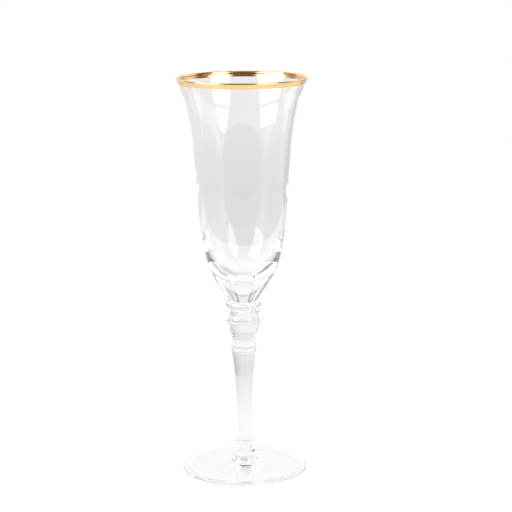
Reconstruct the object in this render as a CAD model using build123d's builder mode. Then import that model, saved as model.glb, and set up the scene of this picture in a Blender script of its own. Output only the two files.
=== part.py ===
"""Tall champagne flute: clear glass with a gilded rim, a beaded stem and a round foot.

Every piece is a body of revolution about Z. The glass pieces are separate gathers that are
fused face to face, so each one ends in the flat disc on which it meets its neighbour.
Millimetres, +Z up, origin at the middle of the circle on which the foot stands.
"""

import os
from math import cos, radians, sin

from build123d import *

# Overall size
HEIGHT = 235.0
RIM_RADIUS = 38.1
FOOT_RADIUS = 37.1

# Bowl: a flared mouth, a long upper wall, and a belly that closes onto the stem
LIP = 1.3  # thickness of the rounded lip
FLARE = 27.0  # degrees that the wall leans out at the lip
BELLY_RADIUS = 25.7
BELLY_LEVEL = 156.0
WALL_LEAN = 4.0  # degrees that the wall leans out at the top of the belly
INNER_RADIUS = 25.72  # inside of the wall at its waist, below which it thickens
INNER_LEVEL = 180.0
INNER_LEAN = 4.2
BOWL_BOTTOM_RADIUS = 8.0
CAVITY_FLOOR = 118.0

# Handles that shape the bowl's curves
FLARE_PULL = 22.0  # how far the flare reaches down from the lip
WALL_PULL = 34.0  # how far the straight wall reaches up from the belly
INNER_FLARE_PULL = 16.0
INNER_WALL_PULL = 26.0
BELLY_PULL = 34.0  # how far the straight wall reaches down into the belly
BELLY_TUCK = 16.6
BELLY_TUCK_LEVEL = 115.1
CAVITY_FLAT = 16.0
CAVITY_PULL = 46.0

# Levels at which the gathers are fused, from the bowl down
BOWL_LEVEL = 103.3
BEAD_LEVEL = 98.6
NECK_LEVEL = 94.3
KNOP_LEVEL = 81.0
SHAFT_LEVEL = 17.5
FOOT_LEVEL = 12.0

# Radii at those joints
BEAD_JOINT = 8.6
NECK_JOINT = 8.05
KNOP_JOINT = 7.2
SHAFT_JOINT = 4.9
FOOT_JOINT = 5.8

# Widest radii of the turned shapes between them
BEAD_RADIUS = 10.2
RING_RADIUS = 8.95
RING_LEVEL = 97.0
KNOP_RADIUS = 10.0
KNOP_EDGE_LEVEL = 90.5
KNOP_HEEL_RADIUS = 7.95  # where the knop's taper ends and it rounds under
KNOP_HEEL_LEVEL = 82.0
SHOULDER_RADIUS = 8.0
SHOULDER_LEVEL = 73.2
EDGE_ROUND = 0.8  # rounding of the edges of the knop and the shoulder
SHAFT_RADIUS = 4.3
SLIM_TOP = 32.0
SLIM_BOTTOM = 24.0
TAPER_PULL = 13.0  # how far the slim part's straight side reaches up into the taper
TAPER_IN = 2.6  # handle that draws the taper in under the shoulder
TAPER_DOWN = 14.0
UPPER_FOOT_BEAD = 5.5
LOWER_FOOT_BEAD = 6.2
GROOVE_RADIUS = 5.2
GROOVE_LEVEL = 14.8

# Foot: a thin disc that stands on a flat ring and rises to a small dome
FOOT_EDGE = 2.0
FOOT_KICK = 1.2  # height of the hollow under the foot
REST_INNER = 32.0  # inside of the flat ring that rests on the table
DOME_RADIUS = 10.5
DOME_LEVEL = 3.6

# Gilding: a fired film over the lip, longer outside than inside
FILM = 0.12
BAND_OUTSIDE = 3.6
BAND_INSIDE = 0.9
MASK = 3.0  # reach of the outline that cuts the band out of the film


def along(start, distance, degrees_from_down):
    """The point at a distance from start, in a direction measured from straight down, inwards."""
    turn = radians(degrees_from_down)
    return (start[0] - distance * sin(turn), start[1] - distance * cos(turn))


lip_centre = (RIM_RADIUS - LIP / 2, HEIGHT - LIP / 2)
belly_outer = (BELLY_RADIUS, BELLY_LEVEL)
waist_inner = (INNER_RADIUS, INNER_LEVEL)


def draw_face(lip_end, flare_pull, wall_end, wall_pull, lean):
    """One face of the wall, from the lip down to where the wall runs straight."""
    Bezier(
        lip_end,
        along(lip_end, flare_pull, FLARE),
        along(wall_end, -wall_pull, lean),
        wall_end,
    )


def draw_wall(film):
    """Both faces of the wall and the lip between them, with a film of this thickness on them."""
    reach = LIP / 2 + film
    outer_lip = along(lip_centre, reach, FLARE - 90)
    inner_lip = along(lip_centre, reach, FLARE + 90)
    outer_end = along(belly_outer, film, WALL_LEAN - 90)
    inner_end = along(waist_inner, film, INNER_LEAN + 90)
    draw_face(outer_lip, FLARE_PULL, outer_end, WALL_PULL, WALL_LEAN)
    ThreePointArc(outer_lip, along(lip_centre, reach, FLARE + 180), inner_lip)
    draw_face(inner_lip, INNER_FLARE_PULL, inner_end, INNER_WALL_PULL, INNER_LEAN)
    return outer_end, inner_end


os.makedirs("parts", exist_ok=True)

# Bowl
with BuildPart() as bowl:
    with BuildSketch(Plane.XZ) as bowl_section:
        with BuildLine():
            draw_wall(film=0)
            Bezier(
                belly_outer,
                along(belly_outer, BELLY_PULL, WALL_LEAN),
                (BELLY_TUCK, BELLY_TUCK_LEVEL),
                (BOWL_BOTTOM_RADIUS, BOWL_LEVEL),
            )
            Line((BOWL_BOTTOM_RADIUS, BOWL_LEVEL), (0, BOWL_LEVEL))
            Line((0, BOWL_LEVEL), (0, CAVITY_FLOOR))
            Bezier(
                (0, CAVITY_FLOOR),
                (CAVITY_FLAT, CAVITY_FLOOR),
                along(waist_inner, CAVITY_PULL, INNER_LEAN),
                waist_inner,
            )
        make_face()
    revolve(axis=Axis.Z)
bowl.part.label = "bowl"
export_step(bowl.part, "parts/bowl.step")

# Gold rim band
end_outside = along(lip_centre, BAND_OUTSIDE, FLARE)
end_inside = along(lip_centre, BAND_INSIDE, FLARE)
above_lip = along(lip_centre, MASK, FLARE + 180)
band_mask = [
    end_outside,
    along(end_outside, MASK, FLARE - 90),
    along(above_lip, MASK, FLARE - 90),
    along(above_lip, MASK, FLARE + 90),
    along(end_inside, MASK, FLARE + 90),
    end_inside,
]

with BuildPart() as gold_rim_band:
    with BuildSketch(Plane.XZ):
        with BuildLine():
            Line(*draw_wall(film=FILM))
        make_face()
        with BuildLine():
            Polyline(*band_mask, close=True)
        make_face(mode=Mode.INTERSECT)
        add(bowl_section.sketch, mode=Mode.SUBTRACT)
    revolve(axis=Axis.Z)
gold_rim_band.part.label = "gold_rim_band"
export_step(gold_rim_band.part, "parts/gold_rim_band.step")

# Bead directly under the bowl
with BuildPart() as bowl_bead:
    with BuildSketch(Plane.XZ):
        with BuildLine():
            Line((0, BEAD_LEVEL), (BEAD_JOINT, BEAD_LEVEL))
            ThreePointArc(
                (BEAD_JOINT, BEAD_LEVEL),
                (BEAD_RADIUS, (BEAD_LEVEL + BOWL_LEVEL) / 2),
                (BOWL_BOTTOM_RADIUS, BOWL_LEVEL),
            )
            Line((BOWL_BOTTOM_RADIUS, BOWL_LEVEL), (0, BOWL_LEVEL))
            Line((0, BOWL_LEVEL), (0, BEAD_LEVEL))
        make_face()
    revolve(axis=Axis.Z)
bowl_bead.part.label = "bowl_bead"
export_step(bowl_bead.part, "parts/bowl_bead.step")

# Neck ring under the bead
with BuildPart() as neck_ring:
    with BuildSketch(Plane.XZ):
        with BuildLine():
            Line((0, NECK_LEVEL), (NECK_JOINT, NECK_LEVEL))
            ThreePointArc(
                (NECK_JOINT, NECK_LEVEL),
                (RING_RADIUS, RING_LEVEL),
                (BEAD_JOINT, BEAD_LEVEL),
            )
            Line((BEAD_JOINT, BEAD_LEVEL), (0, BEAD_LEVEL))
            Line((0, BEAD_LEVEL), (0, NECK_LEVEL))
        make_face()
    revolve(axis=Axis.Z)
neck_ring.part.label = "neck_ring"
export_step(neck_ring.part, "parts/neck_ring.step")

# Knop: flares to a crisp upper edge, tapers to a short upright band and rounds under
knop_heel = (KNOP_HEEL_RADIUS, KNOP_HEEL_LEVEL)
knop_turn = ((KNOP_JOINT + KNOP_HEEL_RADIUS) / 2 + 0.1, KNOP_LEVEL + 0.2)
knop_edge_under = (KNOP_RADIUS - EDGE_ROUND / 4, KNOP_EDGE_LEVEL - EDGE_ROUND)
knop_edge = (KNOP_RADIUS, KNOP_EDGE_LEVEL)
knop_edge_over = (KNOP_RADIUS - EDGE_ROUND, KNOP_EDGE_LEVEL + EDGE_ROUND)

with BuildPart() as knop:
    with BuildSketch(Plane.XZ):
        with BuildLine():
            Line((0, KNOP_LEVEL), (KNOP_JOINT, KNOP_LEVEL))
            ThreePointArc((KNOP_JOINT, KNOP_LEVEL), knop_turn, knop_heel)
            Bezier(
                knop_heel,
                (KNOP_HEEL_RADIUS + 0.2, KNOP_HEEL_LEVEL + 2.8),
                (KNOP_HEEL_RADIUS + 0.8, KNOP_HEEL_LEVEL + 4.5),
                knop_edge_under,
            )
            ThreePointArc(knop_edge_under, knop_edge, knop_edge_over)
            Bezier(
                knop_edge_over,
                (KNOP_RADIUS - 0.9, KNOP_EDGE_LEVEL + 1.2),
                (NECK_JOINT + 0.85, NECK_LEVEL - 1.1),
                (NECK_JOINT, NECK_LEVEL),
            )
            Line((NECK_JOINT, NECK_LEVEL), (0, NECK_LEVEL))
            Line((0, NECK_LEVEL), (0, KNOP_LEVEL))
        make_face()
    revolve(axis=Axis.Z)
knop.part.label = "knop"
export_step(knop.part, "parts/knop.step")

# Stem: a waisted collar and shoulder on a long tapered shaft
shoulder_over = (SHOULDER_RADIUS - EDGE_ROUND / 2, SHOULDER_LEVEL + EDGE_ROUND)
shoulder_edge = (SHOULDER_RADIUS, SHOULDER_LEVEL)
shoulder_under = (SHOULDER_RADIUS - EDGE_ROUND / 4, SHOULDER_LEVEL - EDGE_ROUND)

with BuildPart() as stem:
    with BuildSketch(Plane.XZ):
        with BuildLine():
            Line((0, KNOP_LEVEL), (KNOP_JOINT, KNOP_LEVEL))
            Bezier(
                (KNOP_JOINT, KNOP_LEVEL),
                (KNOP_JOINT - 0.2, KNOP_LEVEL - 2.0),
                (KNOP_JOINT - 0.2, SHOULDER_LEVEL + 2.5),
                shoulder_over,
            )
            ThreePointArc(shoulder_over, shoulder_edge, shoulder_under)
            Bezier(
                shoulder_under,
                (SHOULDER_RADIUS - TAPER_IN, SHOULDER_LEVEL - TAPER_DOWN),
                (SHAFT_RADIUS, SLIM_TOP + TAPER_PULL),
                (SHAFT_RADIUS, SLIM_TOP),
            )
            Line((SHAFT_RADIUS, SLIM_TOP), (SHAFT_RADIUS, SLIM_BOTTOM))
            Bezier(
                (SHAFT_RADIUS, SLIM_BOTTOM),
                (SHAFT_RADIUS, SLIM_BOTTOM - 3.5),
                (SHAFT_RADIUS + 0.2, SHAFT_LEVEL + 1.2),
                (SHAFT_JOINT, SHAFT_LEVEL),
            )
            Line((SHAFT_JOINT, SHAFT_LEVEL), (0, SHAFT_LEVEL))
            Line((0, SHAFT_LEVEL), (0, KNOP_LEVEL))
        make_face()
    revolve(axis=Axis.Z)
stem.part.label = "stem"
export_step(stem.part, "parts/stem.step")

# Merese at the bottom of the shaft: two small beads
with BuildPart() as foot_merese:
    with BuildSketch(Plane.XZ):
        with BuildLine():
            Line((0, FOOT_LEVEL), (FOOT_JOINT, FOOT_LEVEL))
            ThreePointArc(
                (FOOT_JOINT, FOOT_LEVEL),
                (LOWER_FOOT_BEAD, (FOOT_LEVEL + GROOVE_LEVEL) / 2),
                (GROOVE_RADIUS, GROOVE_LEVEL),
            )
            ThreePointArc(
                (GROOVE_RADIUS, GROOVE_LEVEL),
                (UPPER_FOOT_BEAD, (GROOVE_LEVEL + SHAFT_LEVEL) / 2),
                (SHAFT_JOINT, SHAFT_LEVEL),
            )
            Line((SHAFT_JOINT, SHAFT_LEVEL), (0, SHAFT_LEVEL))
            Line((0, SHAFT_LEVEL), (0, FOOT_LEVEL))
        make_face()
    revolve(axis=Axis.Z)
foot_merese.part.label = "foot_merese"
export_step(foot_merese.part, "parts/foot_merese.step")

# Foot
rim_top = (FOOT_RADIUS - FOOT_EDGE / 2, FOOT_EDGE)
rim_side = (FOOT_RADIUS, FOOT_EDGE / 2)
rim_under = (FOOT_RADIUS - FOOT_EDGE / 2, 0)

with BuildPart() as foot:
    with BuildSketch(Plane.XZ):
        with BuildLine():
            Line((0, FOOT_LEVEL), (FOOT_JOINT, FOOT_LEVEL))
            Bezier(
                (FOOT_JOINT, FOOT_LEVEL),
                (FOOT_JOINT + 0.5, FOOT_LEVEL - 5.0),
                (DOME_RADIUS - 2.5, DOME_LEVEL + 0.2),
                (DOME_RADIUS, DOME_LEVEL),
            )
            Line((DOME_RADIUS, DOME_LEVEL), rim_top)
            ThreePointArc(rim_top, rim_side, rim_under)
            Line(rim_under, (REST_INNER, 0))
            Bezier(
                (REST_INNER, 0),
                (REST_INNER - 7.0, FOOT_KICK / 2),
                (REST_INNER / 2, FOOT_KICK),
                (0, FOOT_KICK),
            )
            Line((0, FOOT_KICK), (0, FOOT_LEVEL))
        make_face()
    revolve(axis=Axis.Z)
foot.part.label = "foot"
export_step(foot.part, "parts/foot.step")
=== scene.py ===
from math import atan2, cos, hypot, pi, radians, sin

import bpy
from mathutils import Matrix, Vector


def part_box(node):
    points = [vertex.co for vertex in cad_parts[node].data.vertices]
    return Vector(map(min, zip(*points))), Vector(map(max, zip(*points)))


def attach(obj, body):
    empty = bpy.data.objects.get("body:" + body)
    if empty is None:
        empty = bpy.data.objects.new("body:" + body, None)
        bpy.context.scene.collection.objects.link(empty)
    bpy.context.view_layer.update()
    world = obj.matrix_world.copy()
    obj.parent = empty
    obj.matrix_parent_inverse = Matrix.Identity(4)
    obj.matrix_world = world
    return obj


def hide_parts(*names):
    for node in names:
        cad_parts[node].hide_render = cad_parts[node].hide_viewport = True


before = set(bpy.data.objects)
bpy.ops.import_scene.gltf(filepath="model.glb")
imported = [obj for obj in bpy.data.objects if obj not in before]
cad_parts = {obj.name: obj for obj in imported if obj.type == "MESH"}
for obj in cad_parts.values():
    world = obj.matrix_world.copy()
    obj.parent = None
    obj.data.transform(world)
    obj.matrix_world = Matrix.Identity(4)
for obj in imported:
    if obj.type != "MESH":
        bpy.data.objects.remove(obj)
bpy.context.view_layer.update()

# ---------------------------------------------------------------------------------------------
# Sizes, in metres and degrees. The joints' levels and the widest radii come from the packed
# bodies, and the values named here shape the outlines between them.
# ---------------------------------------------------------------------------------------------
MM = 0.001
SEGMENTS = 288  # quads round each turned piece
SHARP = 40  # degrees between faces from which an edge is drawn sharp
ON_AXIS = 1e-9  # a smaller radius than this is a point on the axis

# Steps along the curves and lines of the outlines
LONG_STEPS = 120
TAPER_STEPS = 80
KICK_STEPS = 48
MIDDLE_STEPS = 40
BEAD_STEPS = 32
SHORT_STEPS = 24
SMALL_STEPS = 20
LIP_STEPS = 16
EDGE_STEPS = 10
HEEL_STEPS = 8
STRAIGHT_STEPS = 4


def level(node):
    """The height at which a CAD piece begins, which is the joint below it."""
    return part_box(node)[0].z


def radius(node):
    """The widest radius of a CAD piece."""
    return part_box(node)[1].x


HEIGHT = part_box("bowl")[1].z
RIM_RADIUS = radius("bowl")

LIP = 1.3 * MM
LIP_CENTRE = (RIM_RADIUS - LIP / 2, HEIGHT - LIP / 2)
FLARE = 27.0
FLARE_PULL = 22.0 * MM
WALL_PULL = 34.0 * MM
WALL_LEAN = 4.0
BELLY_RADIUS = 25.7 * MM
BELLY_LEVEL = 156.0 * MM
BELLY_PULL = 34.0 * MM
BELLY_TUCK = (16.6 * MM, 115.1 * MM)
BOWL_BOTTOM_RADIUS = 8.0 * MM
INNER_FLARE_PULL = 16.0 * MM
INNER_WALL_PULL = 26.0 * MM
INNER_RADIUS = 25.72 * MM
INNER_LEVEL = 180.0 * MM
INNER_LEAN = 4.2
CAVITY_FLOOR = 118.0 * MM
CAVITY_FLAT = 16.0 * MM
CAVITY_PULL = 46.0 * MM

BEAD_JOINT = 8.6 * MM
NECK_JOINT = 8.05 * MM
KNOP_JOINT = 7.2 * MM
SHAFT_JOINT = 4.9 * MM
FOOT_JOINT = 5.8 * MM

BEAD_RADIUS = 10.2 * MM
RING_RADIUS = 8.95 * MM
RING_LEVEL = 97.0 * MM
KNOP_EDGE_LEVEL = 90.5 * MM
KNOP_HEEL_RADIUS = 7.95 * MM
KNOP_HEEL_LEVEL = 82.0 * MM
SHOULDER_LEVEL = 73.2 * MM
EDGE_ROUND = 0.8 * MM
SHAFT_RADIUS = 4.3 * MM
SLIM_TOP = 32.0 * MM
SLIM_BOTTOM = 24.0 * MM
TAPER_PULL = 13.0 * MM
TAPER_IN = 2.6 * MM
TAPER_DOWN = 14.0 * MM
UPPER_FOOT_BEAD = 5.5 * MM
LOWER_FOOT_BEAD = 6.2 * MM
GROOVE_RADIUS = 5.2 * MM
GROOVE_LEVEL = 14.8 * MM

FOOT_EDGE = 2.0 * MM
FOOT_KICK = 1.2 * MM
REST_INNER = 32.0 * MM
DOME_RADIUS = 10.5 * MM
DOME_LEVEL = 3.6 * MM

# Points that bend the outlines, by how far out and up each lies from a named place
HEEL_TURN = (0.1 * MM, 0.2 * MM)
KNOP_SIDE_LOW = (0.2 * MM, 2.8 * MM)
KNOP_SIDE_HIGH = (0.8 * MM, 4.5 * MM)
KNOP_FLARE_LOW = (-0.9 * MM, 1.2 * MM)
KNOP_FLARE_HIGH = (0.85 * MM, -1.1 * MM)
STEM_FLARE_LOW = (0.2 * MM, 1.2 * MM)
STEM_FLARE_HIGH = (0.0, -3.5 * MM)
COLLAR_LOW = (-0.2 * MM, 2.5 * MM)
COLLAR_HIGH = (-0.2 * MM, -2.0 * MM)
KICK_OUTER = -7.0 * MM
DOME_OUTER = (-2.5 * MM, 0.2 * MM)
DOME_INNER = (0.5 * MM, -5.0 * MM)

FILM = 0.12 * MM
FILM_BITE = 0.02 * MM  # how far the film's inner face sits inside the glass
BAND_OUTSIDE = 3.6 * MM
BAND_INSIDE = 0.9 * MM

# ---------------------------------------------------------------------------------------------
# Curves in the plane of radius and height
# ---------------------------------------------------------------------------------------------


def along(start, distance, degrees_from_down):
    """The point at a distance from start, in a direction measured from straight down, inwards."""
    turn = radians(degrees_from_down)
    return (start[0] - distance * sin(turn), start[1] - distance * cos(turn))


def shifted(point, by):
    return (point[0] + by[0], point[1] + by[1])


def line(start, end, steps=1):
    return [
        (start[0] + (end[0] - start[0]) * i / steps, start[1] + (end[1] - start[1]) * i / steps)
        for i in range(steps + 1)
    ]


def bezier(p0, p1, p2, p3, steps):
    points = []
    for i in range(steps + 1):
        t = i / steps
        weights = ((1 - t) ** 3, 3 * t * (1 - t) ** 2, 3 * t * t * (1 - t), t**3)
        corners = (p0, p1, p2, p3)
        points.append(tuple(sum(w * p[k] for w, p in zip(weights, corners)) for k in (0, 1)))
    return points


def arc(start, middle, end, steps):
    """The circular arc through three points."""
    (ax, ay), (bx, by), (cx, cy) = start, middle, end
    d = 2 * (ax * (by - cy) + bx * (cy - ay) + cx * (ay - by))
    a2, b2, c2 = ax * ax + ay * ay, bx * bx + by * by, cx * cx + cy * cy
    ux = (a2 * (by - cy) + b2 * (cy - ay) + c2 * (ay - by)) / d
    uy = (a2 * (cx - bx) + b2 * (ax - cx) + c2 * (bx - ax)) / d
    first = atan2(ay - uy, ax - ux)
    via = (atan2(by - uy, bx - ux) - first) % (2 * pi)
    sweep = (atan2(cy - uy, cx - ux) - first) % (2 * pi)
    if via > sweep:
        sweep -= 2 * pi
    r = hypot(ax - ux, ay - uy)
    turns = [first + sweep * i / steps for i in range(steps + 1)]
    return [(ux + r * cos(t), uy + r * sin(t)) for t in turns]


# ---------------------------------------------------------------------------------------------
# Meshes
# ---------------------------------------------------------------------------------------------


def lathe(name, runs, materials, loop=False):
    """A closed mesh of revolution. Each run is (points, material index), going round the section
    from one end of the axis to the other, or round the whole section where loop is set."""
    outline, kinds = [runs[0][0][0]], []
    for points, kind in runs:
        outline += points[1:]
        kinds += [kind] * (len(points) - 1)
    if loop:
        outline.pop()
    vertices, rings = [], []
    for r, z in outline:
        if r < ON_AXIS:
            rings.append([len(vertices)] * SEGMENTS)
            vertices.append((0.0, 0.0, z))
        else:
            rings.append(list(range(len(vertices), len(vertices) + SEGMENTS)))
            for i in range(SEGMENTS):
                turn = 2 * pi * i / SEGMENTS
                vertices.append((r * cos(turn), r * sin(turn), z))
    faces, indices = [], []
    for k, kind in enumerate(kinds):
        low, high = rings[k], rings[(k + 1) % len(rings)]
        for i in range(SEGMENTS):
            j = (i + 1) % SEGMENTS
            corners = [low[i], low[j], high[j], high[i]]
            faces.append(list(dict.fromkeys(corners)))
            indices.append(kind)
    mesh = bpy.data.meshes.new(name)
    mesh.from_pydata(vertices, [], faces)
    mesh.polygons.foreach_set("material_index", indices)
    mesh.polygons.foreach_set("use_smooth", [True] * len(faces))
    mesh.set_sharp_from_angle(angle=radians(SHARP))
    mesh.update()
    for material in materials:
        mesh.materials.append(material)
    piece = bpy.data.objects.new(name, mesh)
    bpy.context.scene.collection.objects.link(piece)
    return piece


GLASS, JOINT = 0, 1


def turned(name, side, materials):
    """A piece of glass between two joints: a flat disc, its turned side from the bottom up, a disc."""
    bottom = line((0.0, side[0][1]), side[0])
    top = line(side[-1], (0.0, side[-1][1]))
    return lathe(name, [(bottom, JOINT), (side, GLASS), (top, JOINT)], materials)


def wall(film):
    """The outer face, the lip and the inner face of the wall, under a film of this thickness."""
    reach = LIP / 2 + film
    outer_lip = along(LIP_CENTRE, reach, FLARE - 90)
    inner_lip = along(LIP_CENTRE, reach, FLARE + 90)
    outer_belly = along((BELLY_RADIUS, BELLY_LEVEL), film, WALL_LEAN - 90)
    inner_waist = along((INNER_RADIUS, INNER_LEVEL), film, INNER_LEAN + 90)
    outer = bezier(
        outer_belly,
        along(outer_belly, -WALL_PULL, WALL_LEAN),
        along(outer_lip, FLARE_PULL, FLARE),
        outer_lip,
        LONG_STEPS,
    )
    inner = bezier(
        inner_lip,
        along(inner_lip, INNER_FLARE_PULL, FLARE),
        along(inner_waist, -INNER_WALL_PULL, INNER_LEAN),
        inner_waist,
        LONG_STEPS,
    )
    lip = arc(outer_lip, along(LIP_CENTRE, reach, FLARE + 180), inner_lip, LIP_STEPS)
    return outer, lip, inner


def make_bowl(materials):
    outer, lip, inner = wall(film=0.0)
    bottom = level("bowl")
    belly = bezier(
        (BOWL_BOTTOM_RADIUS, bottom),
        BELLY_TUCK,
        along(outer[0], BELLY_PULL, WALL_LEAN),
        outer[0],
        LONG_STEPS,
    )
    cavity = bezier(
        inner[-1],
        along(inner[-1], CAVITY_PULL, INNER_LEAN),
        (CAVITY_FLAT, CAVITY_FLOOR),
        (0.0, CAVITY_FLOOR),
        LONG_STEPS,
    )
    runs = [
        (line((0.0, bottom), (BOWL_BOTTOM_RADIUS, bottom)), JOINT),
        (belly, GLASS),
        (outer, GLASS),
        (lip, GLASS),
        (inner, GLASS),
        (cavity, GLASS),
    ]
    return lathe("bowl_glass", runs, materials)


def make_gold_band(materials):
    """A closed ring between two sections of the wall's outline, one over the glass and one in it."""
    turn = radians(FLARE)
    outside_end = LIP_CENTRE[1] - BAND_OUTSIDE * cos(turn)
    inside_end = LIP_CENTRE[1] - BAND_INSIDE * cos(turn) + LIP / 2 * sin(turn)

    def section(film):
        outer, lip, inner = wall(film)
        return (
            [p for p in outer if p[1] > outside_end]
            + lip[1:]
            + [p for p in inner[1:] if p[1] > inside_end]
        )

    out_face, in_face = section(FILM), section(-FILM_BITE)
    in_face.reverse()
    rim = out_face + in_face + out_face[:1]
    return lathe("gold_rim", [(rim, 0)], materials, loop=True)


def bead_side():
    low, high = level("bowl_bead"), level("bowl")
    start, end = (BEAD_JOINT, low), (BOWL_BOTTOM_RADIUS, high)
    return arc(start, (BEAD_RADIUS, (low + high) / 2), end, BEAD_STEPS)


def ring_side():
    low, high = level("neck_ring"), level("bowl_bead")
    return arc((NECK_JOINT, low), (RING_RADIUS, RING_LEVEL), (BEAD_JOINT, high), SHORT_STEPS)


def knop_side():
    low, high = level("knop"), level("neck_ring")
    widest = radius("knop")
    under = (widest - EDGE_ROUND / 4, KNOP_EDGE_LEVEL - EDGE_ROUND)
    edge = (widest, KNOP_EDGE_LEVEL)
    over = (widest - EDGE_ROUND, KNOP_EDGE_LEVEL + EDGE_ROUND)
    heel = (KNOP_HEEL_RADIUS, KNOP_HEEL_LEVEL)
    turn = shifted(((KNOP_JOINT + KNOP_HEEL_RADIUS) / 2, low), HEEL_TURN)
    underside = arc((KNOP_JOINT, low), turn, heel, HEEL_STEPS)
    taper = bezier(
        heel,
        shifted(heel, KNOP_SIDE_LOW),
        shifted(heel, KNOP_SIDE_HIGH),
        under,
        MIDDLE_STEPS,
    )
    crest = arc(under, edge, over, EDGE_STEPS)
    flare = bezier(
        over,
        shifted(edge, KNOP_FLARE_LOW),
        shifted((NECK_JOINT, high), KNOP_FLARE_HIGH),
        (NECK_JOINT, high),
        SHORT_STEPS,
    )
    return underside + taper[1:] + crest[1:] + flare[1:]


def stem_side():
    low, high = level("stem"), level("knop")
    widest = radius("stem")
    over = (widest - EDGE_ROUND / 2, SHOULDER_LEVEL + EDGE_ROUND)
    edge = (widest, SHOULDER_LEVEL)
    under = (widest - EDGE_ROUND / 4, SHOULDER_LEVEL - EDGE_ROUND)
    flare = bezier(
        (SHAFT_JOINT, low),
        shifted((SHAFT_RADIUS, low), STEM_FLARE_LOW),
        shifted((SHAFT_RADIUS, SLIM_BOTTOM), STEM_FLARE_HIGH),
        (SHAFT_RADIUS, SLIM_BOTTOM),
        SHORT_STEPS,
    )
    slim = line((SHAFT_RADIUS, SLIM_BOTTOM), (SHAFT_RADIUS, SLIM_TOP), STRAIGHT_STEPS)
    taper = bezier(
        (SHAFT_RADIUS, SLIM_TOP),
        (SHAFT_RADIUS, SLIM_TOP + TAPER_PULL),
        (widest - TAPER_IN, SHOULDER_LEVEL - TAPER_DOWN),
        under,
        TAPER_STEPS,
    )
    shoulder = arc(under, edge, over, EDGE_STEPS)
    collar = bezier(
        over,
        shifted((KNOP_JOINT, SHOULDER_LEVEL), COLLAR_LOW),
        shifted((KNOP_JOINT, high), COLLAR_HIGH),
        (KNOP_JOINT, high),
        SHORT_STEPS,
    )
    return flare + slim[1:] + taper[1:] + shoulder[1:] + collar[1:]


def merese_side():
    low, high = level("foot_merese"), level("stem")
    groove = (GROOVE_RADIUS, GROOVE_LEVEL)
    lower_bead = (LOWER_FOOT_BEAD, (low + GROOVE_LEVEL) / 2)
    upper_bead = (UPPER_FOOT_BEAD, (GROOVE_LEVEL + high) / 2)
    lower = arc((FOOT_JOINT, low), lower_bead, groove, SMALL_STEPS)
    upper = arc(groove, upper_bead, (SHAFT_JOINT, high), SMALL_STEPS)
    return lower + upper[1:]


def make_foot(materials):
    high = level("foot_merese")
    edge = radius("foot")
    under = (edge - FOOT_EDGE / 2, 0.0)
    over = (edge - FOOT_EDGE / 2, FOOT_EDGE)
    kick = bezier(
        (0.0, FOOT_KICK),
        (REST_INNER / 2, FOOT_KICK),
        (REST_INNER + KICK_OUTER, FOOT_KICK / 2),
        (REST_INNER, 0.0),
        KICK_STEPS,
    )
    dome = bezier(
        (DOME_RADIUS, DOME_LEVEL),
        shifted((DOME_RADIUS, DOME_LEVEL), DOME_OUTER),
        shifted((FOOT_JOINT, high), DOME_INNER),
        (FOOT_JOINT, high),
        MIDDLE_STEPS,
    )
    runs = [
        (kick, GLASS),
        (line((REST_INNER, 0.0), under, STRAIGHT_STEPS), GLASS),
        (arc(under, (edge, FOOT_EDGE / 2), over, SMALL_STEPS), GLASS),
        (line(over, (DOME_RADIUS, DOME_LEVEL), SHORT_STEPS), GLASS),
        (dome, GLASS),
        (line((FOOT_JOINT, high), (0.0, high)), JOINT),
    ]
    return lathe("foot_glass", runs, materials)


# ---------------------------------------------------------------------------------------------
# Materials
# ---------------------------------------------------------------------------------------------
GLASS_TINTS = ((0.98, 0.985, 0.99, 1.0), (0.992, 0.995, 0.992, 1.0))
GLASS_CLOUDS = (40.0, 40.0, 12.0)  # grains per metre along each axis
GLASS_WAVES = (90.0, 90.0, 14.0)
GLASS_WAVE_HEIGHT = 0.01 * MM
GLASS_BENDING = 1.52  # refractive index of soda glass
GOLD_TINTS = ((0.93, 0.60, 0.25, 1.0), (0.98, 0.74, 0.38, 1.0))
GOLD_PATCHES = (160.0, 160.0, 500.0)
GOLD_POLISH = (0.1, 0.22)
GOLD_LINES = (300.0, 300.0, 6000.0)
GOLD_LINE_DEPTH = 0.002 * MM


def new_material(name):
    material = bpy.data.materials.new(name)
    material.use_nodes = True
    nodes, links = material.node_tree.nodes, material.node_tree.links
    nodes.clear()
    out = nodes.new("ShaderNodeOutputMaterial")
    return material, nodes, links, out


def noise_over(nodes, links, scale, detail):
    """Smooth noise fixed to the object, with its grain given per metre along each axis."""
    place = nodes.new("ShaderNodeTexCoord")
    stretch = nodes.new("ShaderNodeMapping")
    stretch.inputs["Scale"].default_value = scale
    links.new(place.outputs["Object"], stretch.inputs["Vector"])
    noise = nodes.new("ShaderNodeTexNoise")
    noise.inputs["Scale"].default_value = 1.0
    noise.inputs["Detail"].default_value = detail
    links.new(stretch.outputs["Vector"], noise.inputs["Vector"])
    return noise.outputs[0]


def feed(links, socket, value):
    """Sets a socket, or links it where the value is another node's output."""
    if isinstance(value, bpy.types.NodeSocket):
        links.new(value, socket)
    else:
        socket.default_value = value


def blend(nodes, links, factor, first, second):
    """The first colour where the factor is 0 and the second where it is 1."""
    mix = nodes.new("ShaderNodeMix")
    mix.data_type = "RGBA"
    links.new(factor, mix.inputs["Factor"])
    feed(links, mix.inputs["A"], first)
    feed(links, mix.inputs["B"], second)
    return mix.outputs["Result"]


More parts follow.
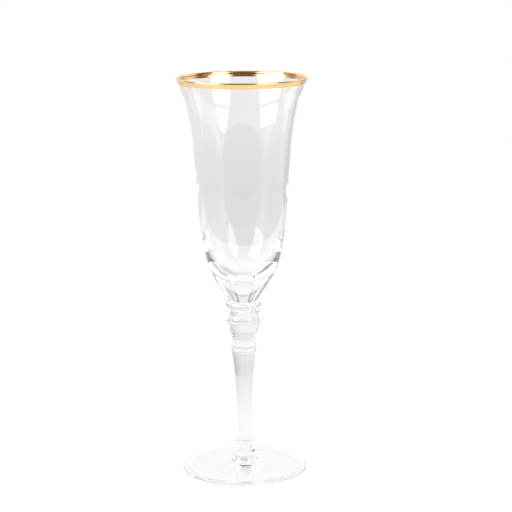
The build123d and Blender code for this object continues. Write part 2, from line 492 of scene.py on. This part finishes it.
def ramp(nodes, links, value, span, levels=(0.0, 1.0), smooth=False):
    """Goes from the first level to the second as the value crosses the span."""
    node = nodes.new("ShaderNodeMapRange")
    if smooth:
        node.interpolation_type = "SMOOTHSTEP"
    links.new(value, node.inputs["Value"])
    node.inputs["From Min"].default_value, node.inputs["From Max"].default_value = span
    feed(links, node.inputs["To Min"], levels[0])
    feed(links, node.inputs["To Max"], levels[1])
    return node.outputs["Result"]


def product(nodes, links, first, second):
    node = nodes.new("ShaderNodeMath")
    node.operation = "MULTIPLY"
    links.new(first, node.inputs[0])
    links.new(second, node.inputs[1])
    return node.outputs["Value"]


def axes_of(nodes, links, output):
    """The X, Y and Z sockets of one of the outputs of the texture coordinate node."""
    place = nodes.new("ShaderNodeTexCoord")
    axes = nodes.new("ShaderNodeSeparateXYZ")
    links.new(place.outputs[output], axes.inputs["Vector"])
    return axes.outputs


def bump_from(nodes, links, height, distance):
    bump = nodes.new("ShaderNodeBump")
    bump.inputs["Distance"].default_value = distance
    links.new(height, bump.inputs["Height"])
    return bump.outputs["Normal"]


def glass_material():
    """Clear glass with the faint tint and the long shallow waves that blowing leaves."""
    material, nodes, links, out = new_material("clear_glass")
    shader = nodes.new("ShaderNodeBsdfPrincipled")
    clouds = noise_over(nodes, links, GLASS_CLOUDS, detail=1.0)
    waves = noise_over(nodes, links, GLASS_WAVES, detail=0.0)
    links.new(blend(nodes, links, clouds, *GLASS_TINTS), shader.inputs["Base Color"])
    links.new(bump_from(nodes, links, waves, GLASS_WAVE_HEIGHT), shader.inputs["Normal"])
    shader.inputs["Transmission Weight"].default_value = 1.0
    shader.inputs["IOR"].default_value = GLASS_BENDING
    shader.inputs["Roughness"].default_value = 0.0
    links.new(shader.outputs["BSDF"], out.inputs["Surface"])
    return material


def joint_material():
    """The face on which two gathers are fused. There is glass on both sides, so nothing bends."""
    material, nodes, links, out = new_material("fused_joint")
    shader = nodes.new("ShaderNodeBsdfTransparent")
    links.new(shader.outputs["BSDF"], out.inputs["Surface"])
    return material


def gold_material():
    """Fired gold, a little uneven in colour and polish, with fine lines from burnishing."""
    material, nodes, links, out = new_material("fired_gold")
    shader = nodes.new("ShaderNodeBsdfPrincipled")
    patches = noise_over(nodes, links, GOLD_PATCHES, detail=2.0)
    lines = noise_over(nodes, links, GOLD_LINES, detail=1.0)
    polish = ramp(nodes, links, patches, (0.0, 1.0), GOLD_POLISH)
    links.new(blend(nodes, links, patches, *GOLD_TINTS), shader.inputs["Base Color"])
    links.new(polish, shader.inputs["Roughness"])
    links.new(bump_from(nodes, links, lines, GOLD_LINE_DEPTH), shader.inputs["Normal"])
    shader.inputs["Metallic"].default_value = 1.0
    links.new(shader.outputs["BSDF"], out.inputs["Surface"])
    return material


# ---------------------------------------------------------------------------------------------
# Camera and stage. -Y is the camera's side and X runs to the right.
# ---------------------------------------------------------------------------------------------
CAMERA_DISTANCE = 1.0294
CAMERA_HEIGHT = 0.3345
CAMERA_SIDE = 0.00755
CAMERA_DOWN = 11.26  # degrees below level
CAMERA_ROLL = 0.37
LENS = 125.3
SENSOR = 36.0
NEAREST = 0.01

TABLE_FRONT = -0.412
TABLE_BACK = 0.39
TABLE_LEFT = -0.53
TABLE_RIGHT = 0.52
TABLE_DROP = 0.2 * MM  # keeps the table clear of the foot
TABLE_COLOUR = (0.975, 0.985, 1.0, 1.0)
# Painted light on the table: its glow is brighter toward the front, where the softboxes shine, and
# dimmer toward the back, across these depths
TABLE_LIGHT_FALLOFF = (0.08, 0.3)
TABLE_LIT_FRONT = 1.05
TABLE_LIT_BACK = 0.98
TABLE_SEEN = 1.2  # its brightness as the camera sees it directly
TABLE_POLISH = 0.2
TABLE_SHEEN = 1.4

BACKDROP_DISTANCE = 1.0
BACKDROP_WIDTH = 3.2
BACKDROP_TOP = 0.6
BACKDROP_BOTTOM = -0.5
BACKDROP_COLOUR = (1.0, 0.958, 0.972, 1.0)
BACKDROP_RISE = (-0.08, 0.2)  # heights between which it brightens
BACKDROP_RISE_LIGHT = (0.82, 0.97)
BACKDROP_FALL = (0.1, 0.8)  # distances to the right between which it darkens
BACKDROP_FALL_LIGHT = (1.0, 0.7)

SOFTBOX_DISTANCE = 1.2
SOFTBOX_RADIANCE = 4.5
SOFTBOX_RIGHT = {"shape": "ELLIPSE", "azimuth": 48, "elevation": 30, "width": 0.80, "height": 1.09}
SOFTBOX_LEFT = {"shape": "RECTANGLE", "azimuth": -66, "elevation": 30, "width": 1.0, "height": 1.0}
AIM_LEVEL = HEIGHT * 0.8  # the level on the bowl that both softboxes face


def make_camera():
    data = bpy.data.cameras.new("camera")
    data.lens = LENS
    data.sensor_width = SENSOR
    data.clip_start = NEAREST
    camera = bpy.data.objects.new("camera", data)
    place = Matrix.Translation((CAMERA_SIDE, -CAMERA_DISTANCE, CAMERA_HEIGHT))
    down = Matrix.Rotation(radians(90 - CAMERA_DOWN), 4, "X")
    roll = Matrix.Rotation(radians(-CAMERA_ROLL), 4, "Z")
    camera.matrix_world = place @ down @ roll
    bpy.context.scene.collection.objects.link(camera)
    bpy.context.scene.camera = camera


def make_plane(name, corners, material):
    """A flat piece of the stage with four corners."""
    mesh = bpy.data.meshes.new(name)
    mesh.from_pydata(corners, [], [(0, 1, 2, 3)])
    mesh.materials.append(material)
    plane = bpy.data.objects.new(name, mesh)
    bpy.context.scene.collection.objects.link(plane)
    return plane


def table_material():
    """White that glows, with painted light: a little brighter toward the front, where the softboxes
    shine, and a little dimmer toward the back, under a thin sheen.
    """
    material, nodes, links, out = new_material("table_white")
    depth = axes_of(nodes, links, "Object")["Y"]
    # Painted light: the glow dims toward the back of the table
    painted_falloff = ramp(nodes, links, depth, TABLE_LIGHT_FALLOFF, (TABLE_LIT_FRONT, TABLE_LIT_BACK))
    path = nodes.new("ShaderNodeLightPath")
    glow = nodes.new("ShaderNodeEmission")
    glow.inputs["Color"].default_value = TABLE_COLOUR
    strength = ramp(nodes, links, path.outputs["Is Camera Ray"], (0.0, 1.0), (painted_falloff, TABLE_SEEN))
    links.new(strength, glow.inputs["Strength"])
    sheen = nodes.new("ShaderNodeBsdfAnisotropic")
    sheen.inputs["Roughness"].default_value = TABLE_POLISH
    fresnel = nodes.new("ShaderNodeFresnel")
    fresnel.inputs["IOR"].default_value = TABLE_SHEEN
    mixed = nodes.new("ShaderNodeMixShader")
    links.new(fresnel.outputs["Fac"], mixed.inputs["Fac"])
    links.new(glow.outputs["Emission"], mixed.inputs[1])
    links.new(sheen.outputs["BSDF"], mixed.inputs[2])
    links.new(mixed.outputs["Shader"], out.inputs["Surface"])
    return material


def make_table():
    z = -TABLE_DROP
    corners = [
        (TABLE_LEFT, TABLE_FRONT, z),
        (TABLE_RIGHT, TABLE_FRONT, z),
        (TABLE_RIGHT, TABLE_BACK, z),
        (TABLE_LEFT, TABLE_BACK, z),
    ]
    make_plane("table", corners, table_material())


def backdrop_material():
    """Grey that brightens upward and darkens to the right."""
    material, nodes, links, out = new_material("backdrop_grey")
    axes = axes_of(nodes, links, "Object")
    rise = ramp(nodes, links, axes["Z"], BACKDROP_RISE, BACKDROP_RISE_LIGHT, smooth=True)
    fall = ramp(nodes, links, axes["X"], BACKDROP_FALL, BACKDROP_FALL_LIGHT)
    glow = nodes.new("ShaderNodeEmission")
    glow.inputs["Color"].default_value = BACKDROP_COLOUR
    links.new(product(nodes, links, rise, fall), glow.inputs["Strength"])
    links.new(glow.outputs["Emission"], out.inputs["Surface"])
    return material


def make_backdrop():
    """The backdrop that the glass bends into view. The camera sees plain white instead of it."""
    half, y = BACKDROP_WIDTH / 2, BACKDROP_DISTANCE
    corners = [
        (-half, y, BACKDROP_BOTTOM),
        (half, y, BACKDROP_BOTTOM),
        (half, y, BACKDROP_TOP),
        (-half, y, BACKDROP_TOP),
    ]
    plane = make_plane("backdrop", corners, backdrop_material())
    plane.visible_camera = False


def make_softbox(name, shape, azimuth, elevation, width, height):
    """An area light that faces the bowl. Azimuth is from the camera's side, to the right."""
    a, e = radians(azimuth), radians(elevation)
    toward = Vector((sin(a) * cos(e), -cos(a) * cos(e), sin(e)))
    data = bpy.data.lights.new(name, "AREA")
    data.shape = shape
    data.size, data.size_y = width, height
    filled = pi / 4 if shape == "ELLIPSE" else 1.0
    data.energy = SOFTBOX_RADIANCE * pi * width * height * filled
    light = bpy.data.objects.new(name, data)
    light.location = Vector((0, 0, AIM_LEVEL)) + toward * SOFTBOX_DISTANCE
    light.rotation_euler = toward.to_track_quat("Z", "Y").to_euler()
    bpy.context.scene.collection.objects.link(light)


# ---------------------------------------------------------------------------------------------
# The room round the stage. Each zone is bounded by where a direction's X, Y or Z crosses a pair of
# values, and its edge is soft between the two.
# ---------------------------------------------------------------------------------------------
WHITE = (1.0, 1.0, 1.0, 1.0)
BACKDROP_BELOW = (0.80, 0.76, 0.78, 1.0)
BACKDROP_ABOVE = (1.04, 0.99, 1.01, 1.0)
BACKDROP_LIGHTENS = (-0.36, 0.1)
BACKDROP_SIDE = (0.35, 0.25)
SIDE_FLOOR = (0.55, 0.55, 0.56, 1.0)
SIDE_WALL = (0.85, 0.85, 0.85, 1.0)
FRONT = (0.3, 0.29, 0.29, 1.0)
FRONT_SIDE = (-0.4, -0.65)
HORIZON = (-0.02, 0.02)
CEILING = (0.12, 0.11, 0.10, 1.0)
CEILING_EDGE = (0.2, 0.3)
CEILING_BACK = (0.3, 0.1)
OVERHEAD = (0.86, 0.83, 0.83, 1.0)
OVERHEAD_EDGE = (0.93, 0.955)
GAP = (0.12, 0.09, 0.08, 1.0)
GAP_BOTTOM = (0.70, 0.74)
GAP_FRONT = (0.35, 0.45)
NOOK = (0.35, 0.34, 0.34, 1.0)
NOOK_FRONT = (-0.05, 0.05)
NOOK_BACK = (0.6, 0.5)
NOOK_RIGHT = (-0.6, -0.75)
NOOK_BOTTOM = (0.12, 0.2)
REFLECTED = (0.2, 0.8)  # glossy bounces between which light counts as reflected


def make_world():
    world = bpy.data.worlds.new("studio")
    bpy.context.scene.world = world
    world.use_nodes = True
    nodes, links = world.node_tree.nodes, world.node_tree.links
    nodes.clear()
    axes = axes_of(nodes, links, "Generated")
    x, y, z = axes["X"], axes["Y"], axes["Z"]
    path = nodes.new("ShaderNodeLightPath")

    def zone(value, edge):
        return ramp(nodes, links, value, edge, smooth=True)

    def both(first, second):
        return product(nodes, links, first, second)

    def paint(where, under, over):
        return blend(nodes, links, where, under, over)

    # Level with the glass: the backdrop, the side walls and the camera's end of the room
    backdrop = paint(zone(z, BACKDROP_LIGHTENS), BACKDROP_BELOW, BACKDROP_ABOVE)
    side = paint(zone(z, HORIZON), SIDE_FLOOR, SIDE_WALL)
    ahead = paint(zone(y, FRONT_SIDE), side, FRONT)
    around = paint(zone(y, BACKDROP_SIDE), backdrop, ahead)

    # Above: a dark ceiling, a bright panel overhead, and a dark gap between panel and backdrop
    ceiling = both(zone(y, CEILING_BACK), zone(z, CEILING_EDGE))
    panel = zone(z, OVERHEAD_EDGE)
    gap = both(zone(z, GAP_BOTTOM), zone(y, GAP_FRONT))
    room = paint(panel, paint(gap, paint(ceiling, around, CEILING), GAP), OVERHEAD)
    through = paint(panel, paint(gap, backdrop, GAP), OVERHEAD)

    # A dark nook at the back on the left
    nook_depth = both(zone(y, NOOK_FRONT), zone(y, NOOK_BACK))
    nook = both(nook_depth, both(zone(x, NOOK_RIGHT), zone(z, NOOK_BOTTOM)))

    # Light that has only been bent sees the backdrop, and light that was reflected sees the room
    reflected = zone(path.outputs["Glossy Depth"], REFLECTED)
    seen = paint(nook, paint(reflected, through, room), NOOK)
    background = nodes.new("ShaderNodeBackground")
    out = nodes.new("ShaderNodeOutputWorld")
    links.new(paint(path.outputs["Is Camera Ray"], seen, WHITE), background.inputs["Color"])
    links.new(background.outputs["Background"], out.inputs["Surface"])


# ---------------------------------------------------------------------------------------------
# Assembly
# ---------------------------------------------------------------------------------------------
BOUNCES = 96  # light crosses the stacked glass many times before it leaves
THROUGH_JOINTS = 64

glass, joint, gold = glass_material(), joint_material(), gold_material()
pieces = {
    "bowl": make_bowl([glass, joint]),
    "bowl_bead": turned("bowl_bead_glass", bead_side(), [glass, joint]),
    "neck_ring": turned("neck_ring_glass", ring_side(), [glass, joint]),
    "knop": turned("knop_glass", knop_side(), [glass, joint]),
    "stem": turned("stem_glass", stem_side(), [glass, joint]),
    "foot_merese": turned("foot_merese_glass", merese_side(), [glass, joint]),
    "foot": make_foot([glass, joint]),
}
for node, piece in pieces.items():
    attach(piece, "root")
    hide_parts(node)
band = make_gold_band([gold])
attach(band, "root")
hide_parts("gold_rim_band")

make_camera()
make_table()
make_backdrop()
make_world()
make_softbox("softbox_right", **SOFTBOX_RIGHT)
make_softbox("softbox_left", **SOFTBOX_LEFT)

scene = bpy.context.scene
scene.view_settings.view_transform = "Standard"
scene.cycles.max_bounces = BOUNCES
scene.cycles.transmission_bounces = BOUNCES
scene.cycles.glossy_bounces = BOUNCES
scene.cycles.transparent_max_bounces = THROUGH_JOINTS
